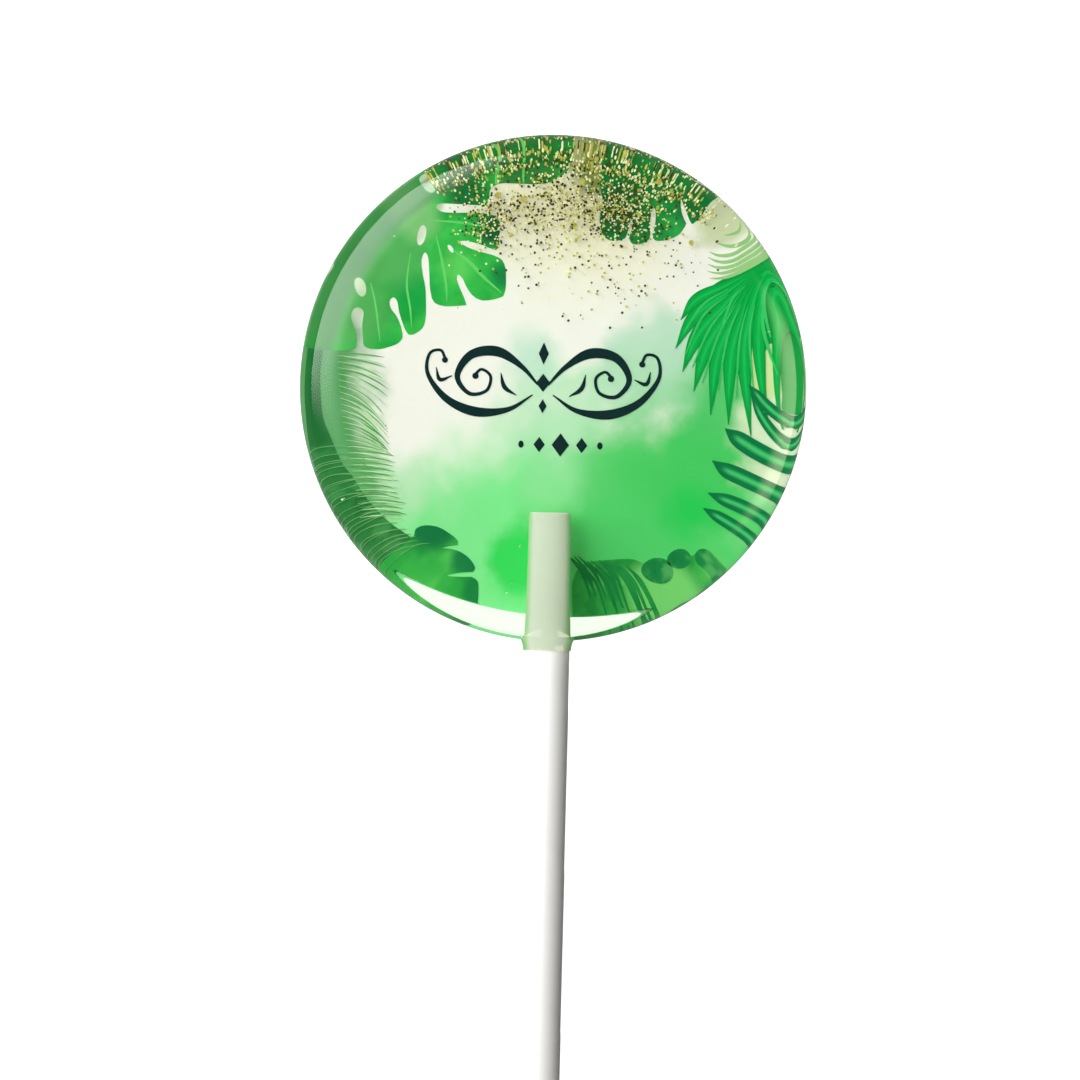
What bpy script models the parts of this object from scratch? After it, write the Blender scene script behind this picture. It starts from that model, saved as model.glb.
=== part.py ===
"""Clear candy lollipop with an edible print on its back, lying on that back.

Metres. The origin is the centre of the disc's back, on the surface that it lies on.
+Z goes up out of the shown side, +Y goes towards the disc's top, and the stick runs
out along -Y.
"""
import math

import bmesh
import bpy

# Driving dimensions.
DISC_DIAMETER = 0.050
DISC_THICKNESS = 0.008
STICK_DIAMETER = 0.0045
STICK_LENGTH = 0.100
STICK_HELD_LENGTH = 0.0127
PRINT_DIAMETER = 0.0447
PRINT_THICKNESS = 0.0004
GAP = 0.0003

# The rim: a flat front, a long round shoulder, and a short round towards the back.
FRONT_FLAT_RADIUS = 0.0200
BACK_FLAT_RADIUS = 0.0232
RIM_WIDEST_HEIGHT = DISC_THICKNESS / 2
ROUND_POWER = 2.5
SHOULDER_POINTS = 12
BACK_ROUND_POINTS = 6
DISC_STEPS = 120

# The sheet was trimmed a little flat below, left of the stick.
PRINT_TRIM_DEPTH = 0.0006
PRINT_TRIM_DIRECTION = math.radians(-97)
PRINT_TRIM_HALF_WIDTH = math.radians(45)

# The stick thins towards its tip inside the candy.
STICK_TIP_DIAMETER = 0.0041
STICK_EDGE_CHAMFER = 0.00025
STICK_STEPS = 40

# The collar of candy that crept along the stick.
COLLAR_REACH = 0.0009
COLLAR_FLARE = 0.0007
COLLAR_LIP = 0.00025
COLLAR_POINTS = 5

DISC_RADIUS = DISC_DIAMETER / 2
STICK_RADIUS = STICK_DIAMETER / 2
STICK_TIP_RADIUS = STICK_TIP_DIAMETER / 2
STICK_HEIGHT = DISC_THICKNESS / 2
STICK_TIP_Y = STICK_HELD_LENGTH - DISC_RADIUS
COLLAR_END_RADIUS = STICK_RADIUS + GAP + COLLAR_LIP
COLLAR_START_Y = -FRONT_FLAT_RADIUS
COLLAR_END_Y = -DISC_RADIUS - COLLAR_REACH
CUTTER_OVERSHOOT = 0.002


def clear_scene():
    for leftover in list(bpy.data.objects):
        bpy.data.objects.remove(leftover, do_unlink=True)


def new_collection(name):
    collection = bpy.data.collections.new(name)
    bpy.context.scene.collection.children.link(collection)
    return collection


def make_material(name, color, roughness, metallic=0.0, transmission=0.0):
    material = bpy.data.materials.new(name)
    material.use_nodes = True
    shader = material.node_tree.nodes["Principled BSDF"]
    shader.inputs["Base Color"].default_value = (*color, 1.0)
    shader.inputs["Roughness"].default_value = roughness
    shader.inputs["Metallic"].default_value = metallic
    shader.inputs["Transmission Weight"].default_value = transmission
    return material


def add_object(name, mesh, collection, material=None):
    piece = bpy.data.objects.new(name, mesh)
    collection.objects.link(piece)
    if material:
        mesh.materials.append(material)
    return piece


def as_cutter(piece):
    piece.hide_render = True
    piece.display_type = "WIRE"
    return piece


def turned(name, profile, steps, collection, material=None):
    """Turn a profile of (radius, height) points, listed from top to bottom, about Z."""
    mesh = bpy.data.meshes.new(name)
    edges = [(i, i + 1) for i in range(len(profile) - 1)]
    mesh.from_pydata([(radius, 0.0, height) for radius, height in profile], edges, [])
    piece = add_object(name, mesh, collection, material)
    screw = piece.modifiers.new("Turn", "SCREW")
    screw.axis = "Z"
    screw.steps = steps
    screw.render_steps = steps
    screw.use_merge_vertices = True
    screw.merge_threshold = 0.00001
    screw.use_smooth_shade = True
    return piece


def lay_along_stick(piece):
    """Turn a piece's own +Z to point out along the stick, at the stick's height."""
    piece.location = (0.0, 0.0, STICK_HEIGHT)
    piece.rotation_euler = (math.radians(90), 0.0, 0.0)


def boolean(piece, other, operation):
    modifier = piece.modifiers.new(other.name, "BOOLEAN")
    modifier.operation = operation
    modifier.solver = "EXACT"
    modifier.object = other


def quarter_round(flat_radius, flat_height, points):
    """Points of a squarish quarter round, from the end of a flat face out to the widest line."""
    reach = DISC_RADIUS - flat_radius
    rise = flat_height - RIM_WIDEST_HEIGHT
    curve = []
    for i in range(points + 1):
        angle = math.pi / 2 * i / points
        out = math.sin(angle) ** (2 / ROUND_POWER)
        up = max(math.cos(angle), 0.0) ** (2 / ROUND_POWER)
        curve.append((flat_radius + reach * out, RIM_WIDEST_HEIGHT + rise * up))
    return curve


def disc_profile():
    shoulder = quarter_round(FRONT_FLAT_RADIUS, DISC_THICKNESS, SHOULDER_POINTS)
    back_round = quarter_round(BACK_FLAT_RADIUS, 0.0, BACK_ROUND_POINTS)
    return [(0.0, DISC_THICKNESS)] + shoulder + back_round[-2::-1] + [(0.0, 0.0)]


def collar_profile():
    """The collar hollows out from the rim to a thin lip round the stick."""
    flare = []
    for i in range(COLLAR_POINTS + 1):
        t = i / COLLAR_POINTS
        flare.append((COLLAR_END_RADIUS + COLLAR_FLARE * (1 - t) ** 2, DISC_RADIUS + COLLAR_REACH * t))
    foot = (flare[0][0], -COLLAR_START_Y)
    return [(0.0, -COLLAR_END_Y)] + flare[::-1] + [foot, (0.0, -COLLAR_START_Y)]


def stick_profile():
    far_end = STICK_LENGTH - STICK_TIP_Y
    return [
        (0.0, far_end),
        (STICK_RADIUS - STICK_EDGE_CHAMFER, far_end),
        (STICK_RADIUS, far_end - STICK_EDGE_CHAMFER),
        (STICK_RADIUS, -COLLAR_END_Y),
        (STICK_TIP_RADIUS, -STICK_TIP_Y + STICK_EDGE_CHAMFER),
        (STICK_TIP_RADIUS - STICK_EDGE_CHAMFER, -STICK_TIP_Y),
        (0.0, -STICK_TIP_Y),
    ]


def socket_profile():
    mouth = -COLLAR_END_Y + CUTTER_OVERSHOOT
    floor = -STICK_TIP_Y - GAP
    return [
        (0.0, mouth),
        (STICK_RADIUS + GAP, mouth),
        (STICK_RADIUS + GAP, -COLLAR_END_Y),
        (STICK_TIP_RADIUS + GAP, floor),
        (0.0, floor),
    ]


def print_edge(direction):
    """The sheet's radius in a direction: round, but for the flat trim below."""
    off_centre = abs((direction - PRINT_TRIM_DIRECTION + math.pi) % math.tau - math.pi)
    if off_centre >= PRINT_TRIM_HALF_WIDTH:
        return PRINT_DIAMETER / 2
    return PRINT_DIAMETER / 2 - PRINT_TRIM_DEPTH * math.cos(off_centre / PRINT_TRIM_HALF_WIDTH * math.pi / 2) ** 2


def print_slab(name, margin, bottom, top, collection, material=None):
    """A slab of the sheet's outline, widened by a margin, between two heights."""
    shape = bmesh.new()
    ring = bmesh.ops.create_cone(
        shape, cap_ends=True, segments=DISC_STEPS, radius1=1.0, radius2=1.0, depth=top - bottom
    )["verts"]
    for corner in ring:
        radius = print_edge(math.atan2(corner.co.y, corner.co.x)) + margin
        corner.co.x *= radius
        corner.co.y *= radius
        corner.co.z += (top + bottom) / 2
    mesh = bpy.data.meshes.new(name)
    shape.to_mesh(mesh)
    shape.free()
    return add_object(name, mesh, collection, material)


def make_candy_disc(parts, cutters):
    candy = make_material("clear_candy", (0.93, 0.95, 0.88), 0.05, transmission=1.0)
    disc = turned("candy_disc", disc_profile(), DISC_STEPS, parts, candy)
    collar = as_cutter(turned("collar_shape", collar_profile(), STICK_STEPS, cutters))
    lay_along_stick(collar)
    boolean(disc, collar, "UNION")
    socket = as_cutter(turned("stick_socket", socket_profile(), STICK_STEPS, cutters))
    lay_along_stick(socket)
    boolean(disc, socket, "DIFFERENCE")
    recess = as_cutter(print_slab("print_recess", GAP, -CUTTER_OVERSHOOT, PRINT_THICKNESS + GAP, cutters))
    boolean(disc, recess, "DIFFERENCE")


def make_print_disc(parts):
    printed_sheet = make_material("printed_sheet", (0.25, 0.72, 0.33), 0.6)
    print_slab("print_disc", 0.0, 0.0, PRINT_THICKNESS, parts, printed_sheet)


def make_stick(parts):
    white_paper = make_material("white_paper", (0.93, 0.93, 0.90), 0.55)
    stick = turned("stick", stick_profile(), STICK_STEPS, parts, white_paper)
    lay_along_stick(stick)


def make_lollipop():
    clear_scene()
    parts = new_collection("lollipop")
    cutters = new_collection("cutters")
    make_candy_disc(parts, cutters)
    make_print_disc(parts)
    make_stick(parts)


make_lollipop()
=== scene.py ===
"""Looks of the clear candy lollipop: candy, leafy edible print, glitter and paper stick."""
import math
import random

import bmesh
import bpy
from mathutils import Matrix, Vector


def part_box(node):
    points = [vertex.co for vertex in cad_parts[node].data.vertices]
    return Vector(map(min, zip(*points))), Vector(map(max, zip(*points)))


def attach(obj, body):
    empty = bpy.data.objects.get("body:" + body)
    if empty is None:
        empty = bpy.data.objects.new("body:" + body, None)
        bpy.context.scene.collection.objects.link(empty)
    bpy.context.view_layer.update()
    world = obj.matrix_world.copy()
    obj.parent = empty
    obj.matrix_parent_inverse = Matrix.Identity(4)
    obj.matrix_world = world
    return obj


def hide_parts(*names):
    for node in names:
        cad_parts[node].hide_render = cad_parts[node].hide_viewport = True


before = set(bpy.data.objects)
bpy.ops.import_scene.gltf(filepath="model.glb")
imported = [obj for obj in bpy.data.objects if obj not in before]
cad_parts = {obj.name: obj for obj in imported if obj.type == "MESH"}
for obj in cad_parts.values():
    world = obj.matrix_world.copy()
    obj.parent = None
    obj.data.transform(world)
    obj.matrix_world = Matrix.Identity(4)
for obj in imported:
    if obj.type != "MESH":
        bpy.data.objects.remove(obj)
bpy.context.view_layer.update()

MM = 0.001

# The frame's own sizes.
disc_low, disc_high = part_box("candy_disc")
print_low, print_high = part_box("print_disc")
stick_low, stick_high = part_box("stick")
DISC_RADIUS = disc_high.x
DISC_THICKNESS = disc_high.z
COLLAR_END_Y = disc_low.y
PRINT_RADIUS = print_high.x
PRINT_THICKNESS = print_high.z
STICK_RADIUS = stick_high.x
STICK_HEIGHT = (stick_low.z + stick_high.z) / 2
STICK_TIP_Y = stick_high.y
STICK_END_Y = stick_low.y

# The rim's round, as in the solid.
FRONT_FLAT_RADIUS = 20.0 * MM
BACK_FLAT_RADIUS = 23.2 * MM
RIM_WIDEST_HEIGHT = DISC_THICKNESS / 2
ROUND_POWER = 2.5
SHOULDER_POINTS = 40
BACK_ROUND_POINTS = 18
DISC_STEPS = 288
FLAT_MARGIN = 0.15 * MM

# The sheet's flat trim, and how far print and stick reach into the candy that holds them.
PRINT_TRIM_DEPTH = 0.6 * MM
PRINT_TRIM_DIRECTION = math.radians(-97)
PRINT_TRIM_HALF_WIDTH = math.radians(45)
SHEET_UNDERCUT = 0.35 * MM
HOLD = 0.05 * MM
CUTTER_OVERSHOOT = 1 * MM

# Inks lie on the sheet in thin layers, each a little proud of the one below.
INK_BOTTOM = PRINT_THICKNESS - 0.02 * MM
INK_STEP = 0.012 * MM
LEAFLET_UV = "blade"


def linear(value):
    """One display colour channel, 0 to 255, as linear light."""
    share = value / 255
    return share / 12.92 if share <= 0.04045 else ((share + 0.055) / 1.055) ** 2.4


def paint(red, green, blue):
    return (linear(red), linear(green), linear(blue), 1.0)


# Materials.


class Nodes:
    """Short calls for wiring one material."""

    def __init__(self, name):
        self.material = bpy.data.materials.new(name)
        self.material.use_nodes = True
        self.tree = self.material.node_tree
        self.shader = self.tree.nodes["Principled BSDF"]
        self.output = self.tree.nodes["Material Output"]

    def add(self, kind, **values):
        node = self.tree.nodes.new(kind)
        for key, value in values.items():
            setattr(node, key, value)
        return node

    def link(self, source, target):
        self.tree.links.new(source, target)

    def set(self, **values):
        for key, value in values.items():
            self.shader.inputs[key.replace("_", " ")].default_value = value

    def color(self, source):
        self.link(source, self.shader.inputs["Base Color"])

    def place(self):
        """The piece's own place, in metres."""
        return self.add("ShaderNodeTexCoord").outputs["Object"]

    def own_uv(self):
        return self.add("ShaderNodeUVMap", uv_map=LEAFLET_UV).outputs["UV"]

    def noise(self, vector, size, detail=3.0, roughness=0.55):
        """Cloudy noise whose blotches are about size across, in metres."""
        node = self.add("ShaderNodeTexNoise")
        node.inputs["Scale"].default_value = 1.0 / size
        node.inputs["Detail"].default_value = detail
        node.inputs["Roughness"].default_value = roughness
        self.link(vector, node.inputs["Vector"])
        return node.outputs["Fac"]

    def math(self, operation, first, second=0.0, third=0.0):
        node = self.add("ShaderNodeMath", operation=operation)
        for socket, value in zip(node.inputs, (first, second, third)):
            if isinstance(value, (int, float)):
                socket.default_value = value
            else:
                self.link(value, socket)
        return node.outputs[0]

    def ramp(self, value, low, high, smooth=True):
        """0 below low and 1 above high, or the other way round when low is above high."""
        node = self.add("ShaderNodeMapRange", interpolation_type="SMOOTHSTEP" if smooth else "LINEAR")
        ends = (low, high, 0.0, 1.0) if low < high else (high, low, 1.0, 0.0)
        for name, end in zip(("From Min", "From Max", "To Min", "To Max"), ends):
            node.inputs[name].default_value = end
        self.link(value, node.inputs["Value"])
        return node.outputs["Result"]

    def mix(self, share, first, second):
        node = self.add("ShaderNodeMix", data_type="RGBA")
        for socket, value in ((node.inputs[0], share), (node.inputs[6], first), (node.inputs[7], second)):
            if isinstance(value, (float, tuple)):
                socket.default_value = value
            else:
                self.link(value, socket)
        return node.outputs[2]

    def washes(self, place, color, blobs, ragged):
        """Lay soft round blobs of ink over a colour, their edges ragged by so many millimetres."""
        cloud = self.noise(place, 8 * MM, 4.0)
        shift = self.math("MULTIPLY", self.math("SUBTRACT", cloud, 0.5), ragged * MM)
        for x, y, full, faded, tint, strength in blobs:
            away = self.math("ADD", self.distance(place, x, y), shift)
            cover = self.math("MULTIPLY", self.ramp(away, faded * MM, full * MM), strength)
            color = self.mix(cover, color, paint(*tint))
        return color

    def distance(self, vector, x, y):
        """Distance in the print's plane from a point given in millimetres."""
        apart = self.add("ShaderNodeVectorMath", operation="SUBTRACT")
        apart.inputs[1].default_value = (x * MM, y * MM, 0.0)
        self.link(vector, apart.inputs[0])
        flat = self.add("ShaderNodeVectorMath", operation="MULTIPLY")
        flat.inputs[1].default_value = (1.0, 1.0, 0.0)
        self.link(apart.outputs[0], flat.inputs[0])
        length = self.add("ShaderNodeVectorMath", operation="LENGTH")
        self.link(flat.outputs[0], length.inputs[0])
        return length.outputs["Value"]

    def bump(self, height, strength, distance):
        node = self.add("ShaderNodeBump")
        node.inputs["Strength"].default_value = strength
        node.inputs["Distance"].default_value = distance
        self.link(height, node.inputs["Height"])
        self.link(node.outputs["Normal"], self.shader.inputs["Normal"])


def candy_material():
    """Clear boiled sugar. Lamps shine through it onto the print."""
    nodes = Nodes("clear_boiled_sugar")
    nodes.set(Base_Color=(0.985, 0.99, 0.965, 1.0), Roughness=0.0, IOR=1.49, Transmission_Weight=1.0)
    see_through = nodes.add("ShaderNodeBsdfTransparent")
    lamp_ray = nodes.add("ShaderNodeLightPath")
    either = nodes.add("ShaderNodeMixShader")
    nodes.link(lamp_ray.outputs["Is Shadow Ray"], either.inputs["Fac"])
    nodes.link(nodes.shader.outputs["BSDF"], either.inputs[1])
    nodes.link(see_through.outputs["BSDF"], either.inputs[2])
    nodes.link(either.outputs["Shader"], nodes.output.inputs["Surface"])
    return nodes.material


WASH_RAGGEDNESS = 9.0
# Soft washes of the print: centre, full radius and faded radius in millimetres, colour, strength.
WASHES = (
    (2.0, 19.0, 2.0, 14.0, (246, 240, 206), 0.8),
    (13.0, 0.6, 3.0, 6.6, (166, 219, 176), 1.0),
    (9.4, 3.6, 2.6, 5.6, (186, 224, 198), 0.9),
    (21.6, 12.0, 1.0, 6.5, (214, 220, 176), 0.8),
    (-14.4, 15.6, 0.8, 2.6, (196, 216, 184), 0.8),
    (-12.0, 18.5, 0.9, 1.8, (166, 200, 156), 0.9),
    (-19.0, 9.4, 0.8, 2.4, (186, 212, 170), 0.8),
    (3.2, 22.0, 1.4, 3.0, (138, 156, 84), 1.0),
    (15.6, 16.0, 1.2, 3.2, (196, 208, 156), 0.8),
    (15.6, -15.6, 1.0, 3.0, (118, 216, 126), 0.8),
    (8.5, -8.8, 2.0, 4.5, (112, 216, 126), 0.6),
    (8.0, -0.5, 2.0, 6.5, (180, 224, 188), 0.9),
    (-2.5, 2.5, 0.5, 4.5, (186, 228, 202), 0.8),
    (1.0, -5.0, 3.0, 8.5, (176, 230, 184), 0.9),
    (-4.0, -17.0, 6.0, 15.0, (126, 232, 144), 1.0),
    (-14.0, -16.0, 3.0, 9.5, (130, 230, 146), 1.0),
    (8.0, -12.0, 5.0, 12.0, (98, 208, 116), 1.0),
    (14.5, -9.0, 4.0, 13.0, (70, 201, 97), 1.0),
    (16.5, -1.0, 1.0, 6.0, (78, 198, 104), 0.9),
    # The print's green wash, lightened here to offset the stick's shadow: partly painted light.
    (7.0, -17.0, 4.0, 9.0, (80, 206, 106), 0.9),
    (0.7, -9.0, 1.0, 4.0, (150, 228, 160), 0.6),
    (-15.5, -10.0, 1.0, 4.5, (190, 232, 190), 0.8),
    (-2.4, -17.2, 1.0, 4.4, (40, 210, 84), 0.9),
    (13.5, -11.5, 0.5, 4.0, (26, 200, 82), 0.8),
    (21.5, -4.0, 1.5, 4.5, (214, 232, 196), 0.95),
    # Pale yellow-green at the right rim, between the fronds: partly the paper, partly a painted highlight
    # where the rim shows a warm reflection.
    (21.4, 2.5, 1.6, 3.4, (206, 226, 156), 0.95),
    (20.5, -8.5, 1.0, 3.2, (222, 230, 200), 0.9),
    (-24.2, 1.0, 4.2, 8.9, (78, 152, 88), 1.0),
    (-23.2, -5.5, 3.4, 8.0, (84, 158, 94), 1.0),
    (-20.4, -11.0, 2.4, 6.0, (96, 174, 106), 1.0),
)


def wash_material():
    """Watercolour wash on cream sugar paper."""
    nodes = Nodes("sugar_paper_wash")
    place = nodes.place()
    paper = nodes.mix(nodes.noise(place, 6 * MM), paint(245, 244, 235), paint(248, 245, 240))
    nodes.color(nodes.washes(place, paper, WASHES, WASH_RAGGEDNESS))
    nodes.set(Roughness=0.65, Specular_IOR_Level=0.0)
    nodes.bump(nodes.noise(place, 0.25 * MM), 0.15, 0.02 * MM)
    return nodes.material


def sheet_back_material():
    """The bare side of the sugar paper, with a little of the print showing through."""
    nodes = Nodes("sugar_paper_back")
    place = nodes.place()
    ghost = nodes.math("MULTIPLY", nodes.ramp(nodes.distance(place, 0.0, 8.0), 10 * MM, 26 * MM), 0.5)
    base = nodes.mix(nodes.noise(place, 3 * MM), paint(236, 236, 226), paint(243, 243, 235))
    nodes.color(nodes.mix(ghost, base, paint(190, 222, 190)))
    nodes.set(Roughness=0.75, Specular_IOR_Level=0.25)
    nodes.bump(nodes.noise(place, 0.3 * MM), 0.4, 0.03 * MM)
    return nodes.material


BLOB_RAGGEDNESS = 2.0
# Painted shade: a deep green mixed into leaves towards the sheet's edge, full at this radius in
# millimetres, for the shade the print gets under the candy's rim.
RIM_SHADE_GREEN = (10, 108, 38)
RIM_SHADE_FULL_RADIUS = 21.9


def leaf_material(name, dark, middle, light, blobs=(), blotch=3.0, rim=0.0, rim_from=18.0):
    """Watercolour in blotches of three greens, with blobs over them.

    Where rim is above 0, that share of a deep green is mixed in towards the sheet's edge,
    from the radius given in millimetres: painted shade, for the shade the print gets under the candy's rim.
    """
    nodes = Nodes(name)
    place = nodes.place()
    cloud = nodes.noise(place, blotch * MM, 2.0)
    color = nodes.mix(nodes.ramp(cloud, 0.36, 0.50), paint(*dark), paint(*middle))
    color = nodes.mix(nodes.ramp(cloud, 0.52, 0.68), color, paint(*light))
    color = nodes.washes(place, color, blobs, BLOB_RAGGEDNESS)
    # Painted shade: darker towards the sheet's edge.
    from_centre = nodes.distance(place, 0.0, 0.0)
    near_rim = nodes.ramp(from_centre, rim_from * MM, RIM_SHADE_FULL_RADIUS * MM)
    near_rim = nodes.math("MULTIPLY", near_rim, rim)
    nodes.color(nodes.mix(near_rim, color, paint(*RIM_SHADE_GREEN)))
    nodes.set(Roughness=0.6, Specular_IOR_Level=0.0)
    return nodes.material


def blade_material(name, edge, middle, vein, edge_from=0.62, tip=(0.8, 0.95)):
    """Green of one long leaflet: its own UV runs along it and across it."""
    nodes = Nodes(name)
    split = nodes.add("ShaderNodeSeparateXYZ")
    nodes.link(nodes.own_uv(), split.inputs[0])
    along, across = split.outputs["X"], split.outputs["Y"]
    off_centre = nodes.math("ABSOLUTE", nodes.math("MULTIPLY", nodes.math("SUBTRACT", across, 0.5), 2.0))
    color = nodes.mix(nodes.ramp(off_centre, 0.0, 0.4), paint(*vein), paint(*middle))
    rim = nodes.math("MAXIMUM", nodes.ramp(off_centre, edge_from, edge_from + 0.2), nodes.ramp(along, *tip))
    color = nodes.mix(rim, color, paint(*edge))
    nodes.color(color)
    nodes.set(Roughness=0.6, Specular_IOR_Level=0.0)
    return nodes.material


def plain_ink_material(name, color, speck):
    nodes = Nodes(name)
    share = nodes.noise(nodes.place(), 0.8 * MM)
    nodes.color(nodes.mix(share, paint(*color), paint(*speck)))
    nodes.set(Roughness=0.55, Specular_IOR_Level=0.0)
    return nodes.material


def glitter_material(name, color, darker_tone, roughness, metallic):
    nodes = Nodes(name)
    # Cloudy noise shifts the colour from flake to flake towards a darker tone.
    share = nodes.noise(nodes.place(), 0.6 * MM)
    nodes.color(nodes.mix(share, paint(*color), paint(*darker_tone)))
    nodes.set(Metallic=metallic, Roughness=roughness)
    return nodes.material


def stick_material():
    """Rolled white paper, wetted by syrup where the candy holds it."""
    nodes = Nodes("rolled_paper")
    place = nodes.place()
    split = nodes.add("ShaderNodeSeparateXYZ")
    nodes.link(place, split.inputs[0])
    grain = nodes.noise(place, 0.5 * MM)
    dry = nodes.mix(grain, paint(250, 249, 245), paint(253, 252, 250))
    wet_with_painted_edges = nodes.mix(grain, paint(203, 213, 192), paint(210, 219, 199))
    # Painted light: the wet paper turns green towards its sides, standing in for the green print that the
    # candy bends into view over the stick's edges.
    off_axis = nodes.math("ABSOLUTE", split.outputs["X"])
    wet_with_painted_edges = nodes.mix(nodes.ramp(off_axis, 1.5 * MM, 2.3 * MM), wet_with_painted_edges, paint(126, 190, 108))
    soaked = nodes.ramp(split.outputs["Y"], COLLAR_END_Y - 0.3 * MM, COLLAR_END_Y + 0.1 * MM)
    nodes.color(nodes.mix(soaked, dry, wet_with_painted_edges))
    nodes.set(Roughness=0.6, Specular_IOR_Level=0.3)
    nodes.bump(grain, 0.2, 0.02 * MM)
    return nodes.material


# Building and placing pieces.


def add_object(name, data):
    added = bpy.data.objects.new(name, data)
    bpy.context.scene.collection.objects.link(added)
    return added


def as_mesh(name, shape):
    """A bmesh made a mesh; the bmesh is freed."""
    mesh = bpy.data.meshes.new(name)
    shape.to_mesh(mesh)
    shape.free()
    return mesh


def finished(name, shape, materials, replaces=(), smooth=True, merge=0.001 * MM):
    """Merge a bmesh's doubles, turn its faces outwards and hang the piece on the lollipop."""
    if merge:
        bmesh.ops.remove_doubles(shape, verts=shape.verts, dist=merge)
    bmesh.ops.recalc_face_normals(shape, faces=shape.faces)
    return placed(name, as_mesh(name, shape), materials, replaces, smooth)


def placed(name, mesh, materials, replaces=(), smooth=True):
    """Make a mesh a piece that rides on the root body; smooth leaves creases sharp."""
    piece = add_object(name, mesh)
    for material in materials:
        mesh.materials.append(material)
    if smooth:
        mesh.shade_smooth()
        mesh.set_sharp_from_angle(angle=math.radians(35))
    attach(piece, "root")
    for node in replaces:
        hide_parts(node)
    return piece


def spun(profile, steps):
    """A closed turned bmesh from (radius, height) points about Z."""
    shape = bmesh.new()
    corners = [shape.verts.new((radius, 0.0, height)) for radius, height in profile]
    edges = [shape.edges.new(pair) for pair in zip(corners, corners[1:])]
    bmesh.ops.spin(
        shape, geom=corners + edges, cent=(0, 0, 0), axis=(0, 0, 1), angle=math.tau,
        steps=steps, use_merge=True, use_duplicate=False,
    )
    bmesh.ops.remove_doubles(shape, verts=shape.verts, dist=0.0005 * MM)
    bmesh.ops.recalc_face_normals(shape, faces=shape.faces)
    return shape


def lay_along_stick(shape):
    """Turn a bmesh's +Z to point out along the stick, at the stick's height."""
    turn = Matrix.Translation((0, 0, STICK_HEIGHT)) @ Matrix.Rotation(math.radians(90), 4, "X")
    bmesh.ops.transform(shape, matrix=turn, verts=shape.verts)


def tool_object(name, shape):
    """An object for a Boolean step, which combined removes again."""
    return add_object(name, as_mesh(name, shape))


def combined(body, steps):
    """The body's mesh after Boolean steps of (tool, operation); body and tools are removed."""
    for tool, operation in steps:
        modifier = body.modifiers.new(tool.name, "BOOLEAN")
        modifier.operation = operation
        modifier.solver = "EXACT"
        modifier.object = tool
    bpy.context.view_layer.update()
    view = bpy.context.evaluated_depsgraph_get()
    mesh = bpy.data.meshes.new_from_object(body.evaluated_get(view))
    for used in [body] + [tool for tool, _ in steps]:
        bpy.data.objects.remove(used, do_unlink=True)
    return mesh


# The candy.


def quarter_round(flat_radius, flat_height, points):
    """Points of the rim's round, from the end of a flat face out to the widest line."""
    reach = DISC_RADIUS - flat_radius
    rise = flat_height - RIM_WIDEST_HEIGHT
    curve = []
    for i in range(points + 1):
        a = math.pi / 2 * i / points
        curve.append((
            flat_radius + reach * math.sin(a) ** (2 / ROUND_POWER),
            RIM_WIDEST_HEIGHT + rise * max(math.cos(a), 0.0) ** (2 / ROUND_POWER),
        ))
    return curve


def disc_shape():
    shoulder = quarter_round(FRONT_FLAT_RADIUS, DISC_THICKNESS, SHOULDER_POINTS)
    back_round = quarter_round(BACK_FLAT_RADIUS, 0.0, BACK_ROUND_POINTS)
    front = [(0.0, DISC_THICKNESS), (FRONT_FLAT_RADIUS - FLAT_MARGIN, DISC_THICKNESS)]
    back = [(BACK_FLAT_RADIUS - FLAT_MARGIN, 0.0), (0.0, 0.0)]
    return spun(front + shoulder + back_round[-2::-1] + back, DISC_STEPS)


COLLAR_LIP_RADIUS = STICK_RADIUS + 0.12 * MM
COLLAR_RIM_RADIUS = 3.1 * MM
COLLAR_LENGTH = 1.35 * MM
COLLAR_FOOT_REACH = 21.0 * MM
COLLAR_POINTS = 14
COLLAR_STEPS = 96


def collar_shape():
    """Candy that crept along the stick: wide at the rim, hollowing out to a thin lip."""
    profile = [(0.0, -COLLAR_END_Y)]
    for i in range(COLLAR_POINTS + 1):
        t = i / COLLAR_POINTS
        hollow = 1 - math.sqrt(1 - t * t)
        radius = COLLAR_LIP_RADIUS + (COLLAR_RIM_RADIUS - COLLAR_LIP_RADIUS) * hollow
        profile.append((radius, -COLLAR_END_Y - COLLAR_LENGTH * t))
    profile += [(COLLAR_RIM_RADIUS, COLLAR_FOOT_REACH), (0.0, COLLAR_FOOT_REACH)]
    shape = spun(profile, COLLAR_STEPS)
    lay_along_stick(shape)
    return shape


STICK_TIP_RADIUS = 2.05 * MM
TIP_CHAMFER = 0.15 * MM
STICK_STEPS = 64


def stick_radius(y):
    """The stick thins towards its tip inside the candy."""
    share = (y - STICK_TIP_Y) / (COLLAR_END_Y - STICK_TIP_Y)
    return STICK_TIP_RADIUS + (STICK_RADIUS - STICK_TIP_RADIUS) * min(max(share, 0.0), 1.0)


def socket_shape():
    """The stick's own shape, a little slimmer and shorter, so that candy and stick overlap."""
    mouth = -COLLAR_END_Y + CUTTER_OVERSHOOT
    end = -STICK_TIP_Y + HOLD
    profile = [
        (0.0, mouth),
        (stick_radius(-mouth) - HOLD, mouth),
        (stick_radius(COLLAR_END_Y) - HOLD, -COLLAR_END_Y),
        (STICK_TIP_RADIUS - HOLD, end + TIP_CHAMFER),
        (STICK_TIP_RADIUS - HOLD - TIP_CHAMFER, end),
        (0.0, end),
    ]
    shape = spun(profile, STICK_STEPS)
    lay_along_stick(shape)
    return shape


def swell(direction, centre, half_width):
    """A smooth hump, 1 in one direction and 0 from half a width away."""
    off_centre = abs((direction - centre + math.pi) % math.tau - math.pi)
    return math.cos(min(off_centre / half_width, 1.0) * math.pi / 2) ** 2


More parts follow.
